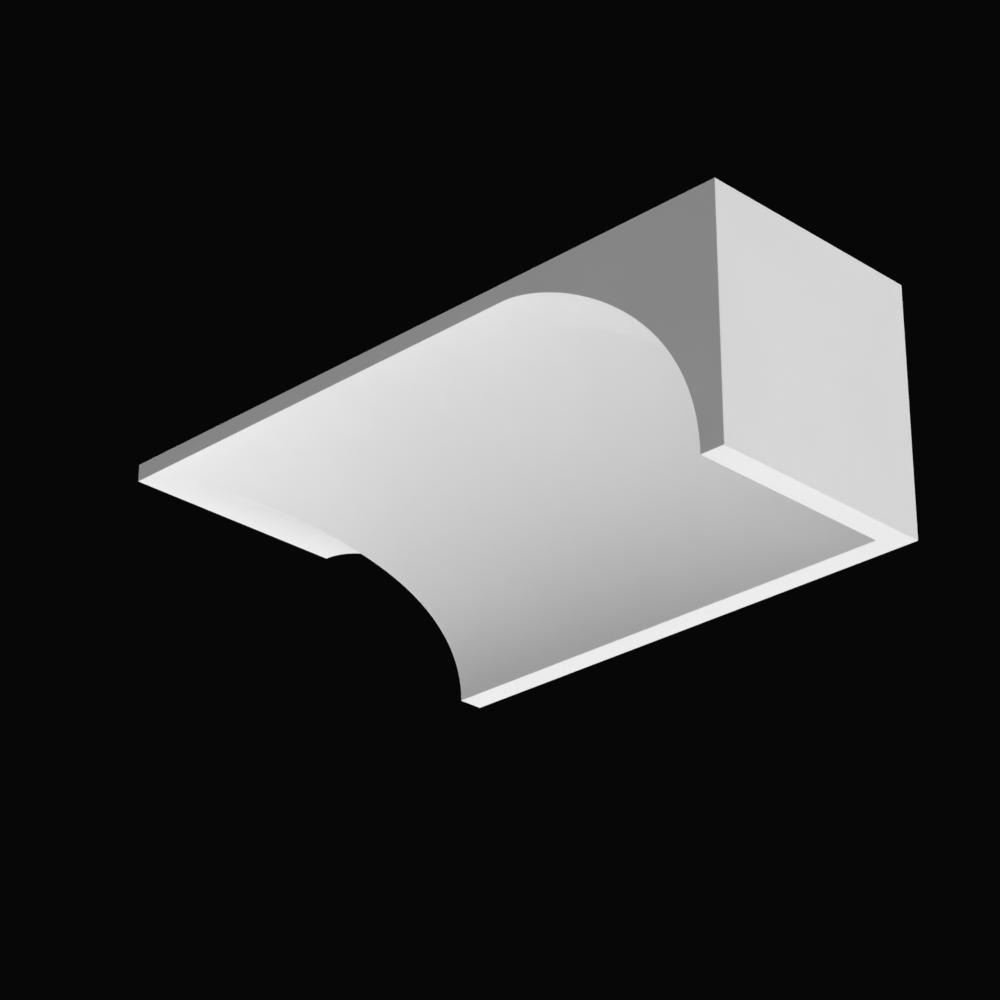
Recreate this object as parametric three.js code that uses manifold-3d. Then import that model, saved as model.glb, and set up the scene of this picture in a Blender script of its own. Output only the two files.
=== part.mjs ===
import * as THREE from 'three';
import { mergeVertices, toCreasedNormals } from 'three/addons/utils/BufferGeometryUtils.js';
import Module from 'manifold-3d';

// A crown moulding cast in one piece. Its cove runs along a wall, turns an inside corner
// at one end and an outside corner at the other, and both corners are mitred.
// Millimetres, +Z up. +X runs along the long wall, and -Y points into the room.
// The origin is the middle of the flat top, which meets the ceiling.

// Driving sizes
const drop = 100; // how far the moulding comes down the wall
const projection = 100; // how far it reaches out along the ceiling
const lipWidth = 10.2; // flat underside of the foot, at the wall
const edgeHeight = 7.4; // upright edge at the ceiling
const longWall = 200; // from the inside corner to the outside corner
const shortWall = 100; // from the inside corner to the cut end of the short leg

// Shape of the cove
const footShare = 0.64; // part of its rise that pulls straight up from the foot
const headShare = 0.28; // part of its reach that pulls level into the ceiling edge
const coveSteps = 40; // flats that the curve is made of

// Finish
const plasterWhite = 0xf2f1ee;
const plasterRoughness = 0.85;
const sharpestSmoothed = THREE.MathUtils.degToRad(20); // corners above this stay crisp

// The section against a wall: x is the distance out from the wall, and y is the height,
// with the ceiling at 0. A backing carries the solid on behind the wall's face.
function coveSection(backing = 0) {
  const rise = drop - edgeHeight;
  const reach = projection - lipWidth;
  const section = new THREE.Shape();
  section.moveTo(-backing, -drop);
  section.lineTo(lipWidth, -drop);
  section.bezierCurveTo(
    lipWidth, -drop + footShare * rise,
    projection - headShare * reach, -edgeHeight,
    projection, -edgeHeight,
  );
  section.lineTo(projection, 0);
  section.lineTo(-backing, 0);
  return section;
}

// A straight run of a section that reaches outward from its wall. It begins at the point
// start and goes to the right of someone who looks outward.
function straightRun(section, outward, start, length) {
  const geometry = new THREE.ExtrudeGeometry(section, {
    depth: length,
    steps: 1,
    curveSegments: coveSteps,
    bevelEnabled: false,
  });
  const up = new THREE.Vector3(0, 0, 1);
  const along = outward.clone().cross(up);
  const place = new THREE.Matrix4().makeBasis(outward, up, along).setPosition(start);
  return geometry.applyMatrix4(place);
}

const wasm = await Module();
wasm.setup();

function toSolid(geometry) {
  geometry.deleteAttribute('normal');
  geometry.deleteAttribute('uv');
  const merged = mergeVertices(geometry);
  return new wasm.Manifold(new wasm.Mesh({
    numProp: 3,
    vertProperties: merged.attributes.position.array,
    triVerts: new Uint32Array(merged.index.array),
  }));
}

function toGeometry(solid) {
  const { vertProperties, triVerts } = solid.getMesh();
  const geometry = new THREE.BufferGeometry();
  geometry.setAttribute('position', new THREE.BufferAttribute(vertProperties, 3));
  geometry.setIndex(new THREE.BufferAttribute(triVerts, 1));
  return toCreasedNormals(geometry, sharpestSmoothed);
}

// The casting, measured from the inside corner where both walls meet the ceiling.
// The legs join in the inside mitre, and the end wall's section cuts the long run
// to the outside mitre, where the moulding stops level with the long wall.
function makeCasting() {
  const fromShortWall = new THREE.Vector3(-1, 0, 0);
  const fromLongWall = new THREE.Vector3(0, -1, 0);
  const shortLeg = straightRun(
    coveSection(),
    fromShortWall,
    new THREE.Vector3(0, -shortWall, 0),
    shortWall,
  );
  const longRun = straightRun(
    coveSection(),
    fromLongWall,
    new THREE.Vector3(0, 0, 0),
    longWall + projection,
  );
  const outsideTurn = straightRun(
    coveSection(longWall),
    fromShortWall,
    new THREE.Vector3(-longWall, -projection, 0),
    projection,
  );
  return toSolid(longRun).intersect(toSolid(outsideTurn)).add(toSolid(shortLeg));
}

const plaster = new THREE.MeshStandardMaterial({
  color: plasterWhite,
  roughness: plasterRoughness,
  metalness: 0,
});

const moulding = new THREE.Mesh(toGeometry(makeCasting()), plaster);
moulding.name = 'moulding';
moulding.position.set((longWall + projection) / 2, projection / 2, 0);

const crownMoulding = new THREE.Group();
crownMoulding.add(moulding);

export default crownMoulding;
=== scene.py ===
"""Cove crown moulding, cast in plaster, in one piece with an inside and an outside corner."""

import math

import bmesh
import bpy
from bpy.props import FloatProperty, FloatVectorProperty, IntProperty, PointerProperty
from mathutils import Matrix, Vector
from mathutils.geometry import interpolate_bezier


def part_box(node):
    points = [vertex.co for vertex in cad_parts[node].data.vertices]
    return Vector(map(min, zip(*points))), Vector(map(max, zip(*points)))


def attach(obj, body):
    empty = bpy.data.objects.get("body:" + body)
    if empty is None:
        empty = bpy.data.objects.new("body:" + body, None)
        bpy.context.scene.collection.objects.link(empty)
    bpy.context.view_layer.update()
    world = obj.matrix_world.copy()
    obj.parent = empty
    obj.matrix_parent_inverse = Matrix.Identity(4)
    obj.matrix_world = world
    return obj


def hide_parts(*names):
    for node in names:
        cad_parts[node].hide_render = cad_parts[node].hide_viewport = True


bl_info = {
    "name": "Cove crown moulding",
    "version": (1, 0, 0),
    "blender": (4, 5, 0),
    "location": "3D View > Sidebar > Moulding",
    "description": "Builds a plaster crown moulding with an inside and an outside corner",
    "category": "Object",
}

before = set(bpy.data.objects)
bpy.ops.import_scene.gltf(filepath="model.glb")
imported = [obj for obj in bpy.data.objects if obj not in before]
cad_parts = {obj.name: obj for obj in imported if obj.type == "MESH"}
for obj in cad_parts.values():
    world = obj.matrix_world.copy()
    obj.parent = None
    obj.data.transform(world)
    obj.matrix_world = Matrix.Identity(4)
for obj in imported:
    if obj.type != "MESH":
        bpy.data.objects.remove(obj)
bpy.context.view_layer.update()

NODE = "moulding"

# The ceiling is at the highest Z, the long wall at the highest Y and the short wall at the highest X.
LOW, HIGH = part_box(NODE)
PROJECTION = HIGH.y - LOW.y

# The wall past the outside corner stands at this X.
END_WALL = LOW.x + PROJECTION

# The studio's floor lies this far below the ceiling, in metres.
FLOOR_DROP = 2.0


# Sizes and colours that a user may change


class MouldingSizes(bpy.types.PropertyGroup):
    """Sizes of the section, its rounded mitres and its softened arrises"""

    lip_width: FloatProperty(
        name="Foot width",
        description="Flat underside of the foot, at the wall",
        default=0.0102,
        min=0.001,
        unit="LENGTH",
    )
    edge_height: FloatProperty(
        name="Ceiling edge",
        description="Upright edge at the ceiling",
        default=0.0074,
        min=0.001,
        unit="LENGTH",
    )
    foot_share: FloatProperty(
        name="Foot pull",
        description="Part of the cove's rise that pulls straight up from the foot",
        default=0.64,
        min=0.0,
        max=1.0,
        subtype="FACTOR",
    )
    head_share: FloatProperty(
        name="Head pull",
        description="Part of the cove's reach that pulls level into the ceiling edge",
        default=0.28,
        min=0.0,
        max=1.0,
        subtype="FACTOR",
    )
    cove_steps: IntProperty(
        name="Cove steps",
        description="Strips that make up the curve of the cove",
        default=64,
        min=8,
    )
    mitre_radius: FloatProperty(
        name="Mitre radius",
        description="Rounding of both mitres where the cove is steep",
        default=0.0005,
        min=0.0003,
        unit="LENGTH",
    )
    inside_softness: FloatProperty(
        name="Inside mitre softness",
        description="How fast the inside mitre's rounding widens as the cove flattens",
        default=0.0025,
        min=0.0,
        unit="LENGTH",
    )
    outside_softness: FloatProperty(
        name="Outside mitre softness",
        description="How fast the outside mitre's rounding widens as the cove flattens",
        default=0.0008,
        min=0.0,
        unit="LENGTH",
    )
    mitre_steps: IntProperty(
        name="Mitre steps",
        description="Strips round each softened mitre",
        default=12,
        min=2,
    )
    arris_softness: FloatProperty(
        name="Arris softness",
        description="How far a cast arris is rounded off",
        default=0.00025,
        min=0.0001,
        unit="LENGTH",
    )
    sharpest_smooth: FloatProperty(
        name="Softened from",
        description="Arrises that turn by more than this are softened",
        default=math.radians(12),
        subtype="ANGLE",
    )


class MouldingFinish(bpy.types.PropertyGroup):
    """Colours of the plaster, and of the shade painted into its pinholes"""

    plaster: FloatVectorProperty(
        name="Plaster",
        description="Colour of clean cast plaster",
        default=(0.86, 0.86, 0.86),
        size=3,
        subtype="COLOR",
    )
    shade: FloatVectorProperty(
        name="Plaster shade",
        description="Colour where the plaster dried a little denser",
        default=(0.835, 0.835, 0.835),
        size=3,
        subtype="COLOR",
    )
    # Painted shade: the pinholes are darker in colour, though their plaster is as white as the rest.
    pit_painted_shade: FloatVectorProperty(
        name="Pinholes",
        description="Colour in the pinholes that air leaves in a casting",
        default=(0.7, 0.7, 0.69),
        size=3,
        subtype="COLOR",
    )


class StudioSettings(bpy.types.PropertyGroup):
    """Floor, surroundings and camera"""

    floor_drop: FloatProperty(
        name="Floor below the ceiling",
        description="How far the studio floor lies below the moulding's top",
        default=FLOOR_DROP,
        unit="LENGTH",
    )
    floor_colour: FloatVectorProperty(
        name="Floor",
        description="Colour of the plain pale floor",
        default=(0.75, 0.75, 0.745),
        size=3,
        subtype="COLOR",
    )
    surround: FloatVectorProperty(
        name="Surroundings",
        description="Colour of the dark studio behind the moulding",
        default=(0.0021, 0.0021, 0.0021),
        size=3,
        subtype="COLOR",
    )
    lens: FloatProperty(
        name="Lens",
        description="Focal length of the camera, on a 36 mm sensor",
        default=112.64,
        unit="CAMERA",
    )


# Shared surface effects


def add_socket(group, name, kind, side="INPUT", default=None):
    socket = group.interface.new_socket(name=name, in_out=side, socket_type=kind)
    if default is not None:
        socket.default_value = default


def start_group(name, inputs, outputs):
    """A new node group with its input and output nodes."""
    group = bpy.data.node_groups.new(name, "ShaderNodeTree")
    for label, kind, default in inputs:
        add_socket(group, label, kind, default=default)
    for label, kind in outputs:
        add_socket(group, label, kind, side="OUTPUT")
    return group, group.nodes.new("NodeGroupInput"), group.nodes.new("NodeGroupOutput")


def spread_node(tree, low, high, to_low=0.0, to_high=1.0):
    """Stretches the values between low and high over a new range."""
    node = tree.nodes.new("ShaderNodeMapRange")
    node.interpolation_type = "SMOOTHSTEP"
    node.inputs["From Min"].default_value = low
    node.inputs["From Max"].default_value = high
    node.inputs["To Min"].default_value = to_low
    node.inputs["To Max"].default_value = to_high
    return node


def noise_group(name, scale, detail, roughness, low, high):
    """A noise as a height, and as a mask that rises from 0 at low to 1 at high."""
    group, start, end = start_group(
        name,
        [("Vector", "NodeSocketVector", None), ("Scale", "NodeSocketFloat", scale)],
        [("Height", "NodeSocketFloat"), ("Mask", "NodeSocketFloat")],
    )
    noise = group.nodes.new("ShaderNodeTexNoise")
    noise.inputs["Detail"].default_value = detail
    noise.inputs["Roughness"].default_value = roughness
    spread = spread_node(group, low, high)
    link = group.links.new
    link(start.outputs["Vector"], noise.inputs["Vector"])
    link(start.outputs["Scale"], noise.inputs["Scale"])
    link(noise.outputs["Fac"], end.inputs["Height"])
    link(noise.outputs["Fac"], spread.inputs["Value"])
    link(spread.outputs["Result"], end.inputs["Mask"])
    return group


def fine_grain_group():
    """Tiny grain of a mineral surface."""
    return noise_group("Fine grain", scale=1000.0, detail=3.0, roughness=0.6, low=0.35, high=0.65)


def mottle_group():
    """Broad faint patches, as plaster and screed have where they dried unevenly."""
    return noise_group("Faint mottle", scale=20.0, detail=4.0, roughness=0.55, low=0.3, high=0.7)


def shared_group(name):
    """The shared node group of that name, made the first time that it is asked for."""
    makers = {"Fine grain": fine_grain_group, "Faint mottle": mottle_group}
    return bpy.data.node_groups.get(name) or makers[name]()


def place_group(tree, name, size, coordinates):
    """A shared group in a material, with its pattern at that real size in metres."""
    node = tree.nodes.new("ShaderNodeGroup")
    node.node_tree = shared_group(name)
    node.inputs["Scale"].default_value = 1.0 / size
    tree.links.new(coordinates.outputs["Object"], node.inputs["Vector"])
    return node


# Finishes

# The cast plaster's patterns: their real sizes and heights in metres. The radius is the widest pinhole's.
GRAIN_SIZE = 0.0007
GRAIN_HEIGHT = 0.00004
MOTTLE_SIZE = 0.055
MOTTLE_HEIGHT = 0.00006
PINHOLE_SPACING = 0.008
PINHOLE_RADIUS = 0.0004
PINHOLE_RIM = 0.0001
PINHOLE_DEPTH = 0.00015

# Part of the places at that spacing that have a pinhole.
PINHOLE_SHARE = 0.12

# Roughness in the hollows and on the tops of the grain, and how shiny the plaster is.
PLASTER_ROUGHNESS = (0.72, 0.9)
PLASTER_SPECULAR = 0.25

# The floor's screed, with how dark its patches are beside its colour.
SCREED_GRAIN_SIZE = 0.0033
SCREED_GRAIN_HEIGHT = 0.0003
SCREED_MOTTLE_SIZE = 0.65
SCREED_SHADE = 0.96
SCREED_ROUGHNESS = 0.8


def start_material(name):
    """A material with its Principled shader and the piece's own coordinates."""
    material = bpy.data.materials.new(name)
    material.use_nodes = True
    tree = material.node_tree
    return material, tree, tree.nodes["Principled BSDF"], tree.nodes.new("ShaderNodeTexCoord")


def colour_socket(sockets, identifier):
    """A socket by its identifier, because a mix node has several of each name."""
    return next(socket for socket in sockets if socket.identifier == identifier)


def mix_colours(tree, factor, first, second):
    """A colour mix: first and second are colours or sockets."""
    node = tree.nodes.new("ShaderNodeMix")
    node.data_type = "RGBA"
    tree.links.new(factor, node.inputs["Factor"])
    for identifier, value in (("A_Color", first), ("B_Color", second)):
        socket = colour_socket(node.inputs, identifier)
        if isinstance(value, bpy.types.NodeSocket):
            tree.links.new(value, socket)
        else:
            socket.default_value = (*value, 1.0)
    return colour_socket(node.outputs, "Result_Color")


def add_bump(tree, height, distance, strength, below=None):
    """A bump of that real height in metres, laid on top of the one below it."""
    node = tree.nodes.new("ShaderNodeBump")
    node.inputs["Distance"].default_value = distance
    node.inputs["Strength"].default_value = strength
    tree.links.new(height, node.inputs["Height"])
    if below is not None:
        tree.links.new(below.outputs["Normal"], node.inputs["Normal"])
    return node


def pinholes(tree, coordinates):
    """Mask of sparse round pits with soft rims: 1 in a pit, and 0 on the surface around it."""
    cells = tree.nodes.new("ShaderNodeTexVoronoi")
    cells.inputs["Scale"].default_value = 1.0 / PINHOLE_SPACING
    tree.links.new(coordinates.outputs["Object"], cells.inputs["Vector"])
    apart = tree.nodes.new("ShaderNodeSeparateColor")
    tree.links.new(cells.outputs["Color"], apart.inputs["Color"])
    radius = spread_node(tree, 1.0 - PINHOLE_SHARE, 1.0, 0.0, PINHOLE_RADIUS / PINHOLE_SPACING)
    tree.links.new(apart.outputs["Red"], radius.inputs["Value"])
    inside = tree.nodes.new("ShaderNodeMath")
    inside.operation = "SUBTRACT"
    tree.links.new(radius.outputs["Result"], inside.inputs[0])
    tree.links.new(cells.outputs["Distance"], inside.inputs[1])
    depth = spread_node(tree, 0.0, PINHOLE_RIM / PINHOLE_SPACING)
    tree.links.new(inside.outputs["Value"], depth.inputs["Value"])
    return depth.outputs["Result"]


def plaster_material(finish):
    """Matt cast plaster, with its fine grain, faint mottle and a few pinholes darkened by painted shade.
    """
    material, tree, shader, coordinates = start_material("cast plaster")
    fine = place_group(tree, "Fine grain", GRAIN_SIZE, coordinates)
    broad = place_group(tree, "Faint mottle", MOTTLE_SIZE, coordinates)
    pits = pinholes(tree, coordinates)

    tone = mix_colours(tree, broad.outputs["Mask"], finish.plaster, finish.shade)
    # Painted shade: the pinhole mask darkens the colour in each pit, on top of the pit's real bump.
    tone_with_pit_shade = mix_colours(tree, pits, tone, finish.pit_painted_shade)
    tree.links.new(tone_with_pit_shade, shader.inputs["Base Color"])

    rough = spread_node(tree, 0.0, 1.0, *PLASTER_ROUGHNESS)
    tree.links.new(fine.outputs["Mask"], rough.inputs["Value"])
    tree.links.new(rough.outputs["Result"], shader.inputs["Roughness"])

    ripple = add_bump(tree, broad.outputs["Mask"], MOTTLE_HEIGHT, strength=1.0)
    grained = add_bump(tree, fine.outputs["Height"], GRAIN_HEIGHT, strength=0.5, below=ripple)
    pitted_bump = add_bump(tree, pits, PINHOLE_DEPTH, strength=0.8, below=grained)
    pitted_bump.invert = True
    tree.links.new(pitted_bump.outputs["Normal"], shader.inputs["Normal"])
    shader.inputs["Specular IOR Level"].default_value = PLASTER_SPECULAR
    return material


def floor_material(studio):
    """Plain pale screed."""
    material, tree, shader, coordinates = start_material("pale floor")
    fine = place_group(tree, "Fine grain", SCREED_GRAIN_SIZE, coordinates)
    broad = place_group(tree, "Faint mottle", SCREED_MOTTLE_SIZE, coordinates)
    darker = [SCREED_SHADE * channel for channel in studio.floor_colour]
    tone = mix_colours(tree, broad.outputs["Mask"], studio.floor_colour, darker)
    tree.links.new(tone, shader.inputs["Base Color"])
    bump = add_bump(tree, fine.outputs["Height"], SCREED_GRAIN_HEIGHT, strength=0.4)
    tree.links.new(bump.outputs["Normal"], shader.inputs["Normal"])
    shader.inputs["Roughness"].default_value = SCREED_ROUGHNESS
    return material


# The moulding

QUARTER_TURN = math.radians(90.0)

# Part of the way to the ceiling edge that a mitre's rounding may take.
MITRE_ROOM = 0.8

# Points closer than this, in metres, are one point, and faces that turn by less than this lie flat.
TOUCHING = 0.00002
FLAT_TURN = math.radians(0.05)

# How much a large face counts beside a small one in the shading of an edge that they share: 50 is even.
LARGE_FACE_WEIGHT = 80


def cove_curve(sizes):
    """The cove from the foot to the ceiling edge: distance out from the wall, and height."""
    reach = PROJECTION - sizes.lip_width
    rise = HIGH.z - sizes.edge_height - LOW.z
    foot = Vector((sizes.lip_width, LOW.z))
    head = Vector((PROJECTION, HIGH.z - sizes.edge_height))
    foot_pull = foot + Vector((0.0, sizes.foot_share * rise))
    head_pull = head - Vector((sizes.head_share * reach, 0.0))
    return interpolate_bezier(foot, foot_pull, head_pull, head, sizes.cove_steps + 1)


def flatness(before, after):
    """How much flatter than 45 degrees the cove lies there: 0 below that, and more above."""
    run, rise = after - before
    return max(0.0, (run / rise) ** 2 - 1.0)


def section_outline(sizes):
    """The section against its wall: each point's distance out, its height and its flatness."""
    cove = cove_curve(sizes)
    before = cove[:1] + cove[:-1]
    after = cove[1:] + cove[-1:]
    curve = [(*point, flatness(a, b)) for point, a, b in zip(cove, before, after)]
    wall_foot = (0.0, LOW.z, 0.0)
    ceiling = (PROJECTION, HIGH.z, 0.0)
    wall_head = (0.0, HIGH.z, 0.0)
    return [wall_foot, *curve, ceiling, wall_head]


def rounding(wanted, out):
    """The radius that a mitre gets there: it dies out at the wall and at the ceiling edge."""
    return min(wanted, out, MITRE_ROOM * (PROJECTION - out))


def inside_turn(out, radius, turn):
    """Plan place of a section point that has turned that far round the inside corner."""
    return (
        HIGH.x - out - radius * (1.0 - math.cos(turn)),
        HIGH.y - out - radius * (1.0 - math.sin(turn)),
    )


def outside_turn(out, radius, turn):
    """Plan place of a section point that has turned that far round the outside corner."""
    return (
        END_WALL - out + radius * (1.0 - math.sin(turn)),
        HIGH.y - out + radius * (1.0 - math.cos(turn)),
    )


def extrude_loop(mesh, loop):
    """Extrudes a loop of edges in place: the new edges and the new vertices."""
    made = bmesh.ops.extrude_edge_only(mesh, edges=loop)["geom"]
    edges = [part for part in made if isinstance(part, bmesh.types.BMEdge)]
    vertices = [part for part in made if isinstance(part, bmesh.types.BMVert)]
    return edges, vertices


def sweep_section(mesh, sizes):
    """Runs the section from the short leg's cut end round both mitres to the far cut."""
    layers = mesh.verts.layers.float
    out = layers.new("out")
    flat = layers.new("flat")
    start = []
    for distance, height, flatter in section_outline(sizes):
        vertex = mesh.verts.new((HIGH.x - distance, LOW.y, height))
        vertex[out] = distance
        vertex[flat] = flatter
        start.append(vertex)
    loop = [mesh.edges.new(pair) for pair in zip(start, start[1:] + start[:1])]
    bmesh.ops.contextual_create(mesh, geom=loop)

    steps = sizes.mitre_steps
    turns = [QUARTER_TURN * step / steps for step in range(steps + 1)]
    path = [(inside_turn, sizes.inside_softness, turn) for turn in turns]
    path += [(outside_turn, sizes.outside_softness, turn) for turn in turns]
    for place, softness, turn in path:
        loop, moved = extrude_loop(mesh, loop)
        for vertex in moved:
            radius = rounding(sizes.mitre_radius + softness * vertex[flat], vertex[out])
            vertex.co.xy = place(vertex[out], radius, turn)
    loop, moved = extrude_loop(mesh, loop)
    for vertex in moved:
        vertex.co.y = HIGH.y
    bmesh.ops.contextual_create(mesh, geom=loop)
    for name in ("flat", "out"):
        layers.remove(layers[name])


def close_up(mesh):
    """Merges points that touch, and drops faces that have no area."""
    bmesh.ops.remove_doubles(mesh, verts=mesh.verts[:], dist=TOUCHING)
    bmesh.ops.dissolve_degenerate(mesh, dist=TOUCHING, edges=mesh.edges[:])


def join_flats(mesh):
    """Makes each flat face one face."""
    bmesh.ops.dissolve_limit(
        mesh, angle_limit=FLAT_TURN, verts=mesh.verts[:], edges=mesh.edges[:]
    )
    bmesh.ops.recalc_face_normals(mesh, faces=mesh.faces[:])


def soften_arrises(mesh, sizes):
    """Rounds off every arris, as a plaster mould leaves it. The mitres are rounded before."""
    arrises = [edge for edge in mesh.edges if edge.calc_face_angle(0.0) > sizes.sharpest_smooth]
    bmesh.ops.bevel(
        mesh,
        geom=arrises,
        offset=sizes.arris_softness,
        offset_type="OFFSET",
        affect="EDGES",
        segments=3,
        profile=0.5,
        material=-1,
        clamp_overlap=True,
    )


def casting_mesh(sizes):
    """The whole casting as one closed mesh."""
    mesh = bmesh.new()
    sweep_section(mesh, sizes)
    close_up(mesh)
    join_flats(mesh)
    soften_arrises(mesh, sizes)
    close_up(mesh)
    for face in mesh.faces:
        face.smooth = True
    data = bpy.data.meshes.new("casting")
    mesh.to_mesh(data)
    mesh.free()
    return data


class MOULDING_OT_casting(bpy.types.Operator):
    """Build the plaster casting from its section"""

    bl_idname = "moulding.casting"
    bl_label = "Casting"

    def execute(self, context):
        scene = context.scene
        casting = bpy.data.objects.new("casting", casting_mesh(scene.moulding_sizes))
        casting.data.materials.append(plaster_material(scene.moulding_finish))
        scene.collection.objects.link(casting)
        shading = casting.modifiers.new("flat faces shade flat", "WEIGHTED_NORMAL")
        shading.weight = LARGE_FACE_WEIGHT
        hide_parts(NODE)
        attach(casting, "root")
        return {"FINISHED"}


# The studio

# The camera looks at this point, and so do the lamps that light the moulding.
AIM = Vector((0.0282, -0.0284, -0.0698))
CAMERA_PLACE = Vector((0.7219, -0.7294, -0.5571))

# The floor reaches this far each way, and has this many panels along each side.
FLOOR_REACH = 15.0
FLOOR_PANELS = 8

# Soft lamps: name, centre, the point that each faces, width and height in metres, and power in watts.
LAMPS = (
    ("lamp far right above", (3.6, 0.6, 2.0), AIM, (3.2, 3.2), 97.5),
    ("lamp below right", (1.6, 0.0, -1.1), AIM, (1.6, 1.6), 4.4),
    ("lamp below front right", (1.4, -1.4, -0.9), AIM, (1.6, 1.6), 2.7),
    ("lamp below left", (-0.9, -0.3, -1.2), AIM, (0.8, 0.8), 6.3),
    ("lamp below behind", (0.0, 1.6, -1.1), AIM, (1.6, 1.6), 10.3),
    ("lamp overhead", (0.0, 0.5, 1.9), AIM, (1.0, 1.0), 31.0),
    ("lamp over the floor", (0.0, 0.0, -1.0), (0.0, 0.0, -FLOOR_DROP), (12.0, 12.0), 240.0),
)


def face_point(item, target):
    """Turns a lamp or the camera to look at a point."""
    item.rotation_euler = (target - item.location).to_track_quat("-Z", "Y").to_euler()


def add_lamp(scene, name, place, target, size, power):
    """A soft rectangular lamp, itself unseen."""
    data = bpy.data.lights.new(name, "AREA")
    data.shape = "RECTANGLE"
    data.size, data.size_y = size
    data.energy = power
    lamp = bpy.data.objects.new(name, data)
    lamp.location = place
    lamp.visible_camera = False
    scene.collection.objects.link(lamp)
    face_point(lamp, Vector(target))


def add_floor(scene, studio):
    """The wide plain floor, well below the moulding."""
    mesh = bmesh.new()
    bmesh.ops.create_grid(
        mesh, x_segments=FLOOR_PANELS, y_segments=FLOOR_PANELS, size=FLOOR_REACH
    )
    bmesh.ops.translate(mesh, vec=(0.0, 0.0, HIGH.z - studio.floor_drop), verts=mesh.verts[:])
    data = bpy.data.meshes.new("floor")
    mesh.to_mesh(data)
    mesh.free()
    floor = bpy.data.objects.new("floor", data)
    scene.collection.objects.link(floor)
    data.materials.append(floor_material(studio))


def add_surroundings(scene, studio):
    """The dark studio all around, and colours that are shown as they are."""
    world = bpy.data.worlds.new("dark studio")
    world.use_nodes = True
    background = world.node_tree.nodes["Background"]
    background.inputs["Color"].default_value = (*studio.surround, 1.0)
    scene.world = world
    scene.view_settings.view_transform = "Standard"


def add_camera(scene, studio):
    """The camera, which looks up at the moulding from below and from the right."""
    data = bpy.data.cameras.new("camera")
    data.lens = studio.lens
    camera = bpy.data.objects.new("camera", data)
    camera.location = CAMERA_PLACE
    scene.collection.objects.link(camera)
    face_point(camera, AIM)
    scene.camera = camera


class MOULDING_OT_studio(bpy.types.Operator):
    """Build the floor, the lamps, the surroundings and the camera"""

    bl_idname = "moulding.studio"
    bl_label = "Studio"

    def execute(self, context):
        scene = context.scene
        studio = scene.moulding_studio
        add_camera(scene, studio)
        add_floor(scene, studio)
        add_surroundings(scene, studio)
        for lamp in LAMPS:
            add_lamp(scene, *lamp)
        return {"FINISHED"}


# The panel and the run


class MOULDING_PT_panel(bpy.types.Panel):
    """Sidebar panel of the moulding"""

    bl_label = "Crown moulding"
    bl_idname = "MOULDING_PT_panel"
    bl_space_type = "VIEW_3D"
    bl_region_type = "UI"
    bl_category = "Moulding"

    def draw(self, context):
        scene = context.scene
        for group in (scene.moulding_sizes, scene.moulding_finish, scene.moulding_studio):
            for name in group.bl_rna.properties.keys():
                if name not in ("rna_type", "name"):
                    self.layout.prop(group, name)
        self.layout.operator(MOULDING_OT_casting.bl_idname)
        self.layout.operator(MOULDING_OT_studio.bl_idname)


CLASSES = (
    MouldingSizes,
    MouldingFinish,
    StudioSettings,
    MOULDING_OT_casting,
    MOULDING_OT_studio,
    MOULDING_PT_panel,
)


def register():
    for cls in CLASSES:
        bpy.utils.register_class(cls)
    bpy.types.Scene.moulding_sizes = PointerProperty(type=MouldingSizes)
    bpy.types.Scene.moulding_finish = PointerProperty(type=MouldingFinish)
    bpy.types.Scene.moulding_studio = PointerProperty(type=StudioSettings)


def unregister():
    del bpy.types.Scene.moulding_studio
    del bpy.types.Scene.moulding_finish
    del bpy.types.Scene.moulding_sizes
    for cls in reversed(CLASSES):
        bpy.utils.unregister_class(cls)


def main():
    register()
    bpy.ops.moulding.studio()
    bpy.ops.moulding.casting()


if __name__ == "__main__":
    main()
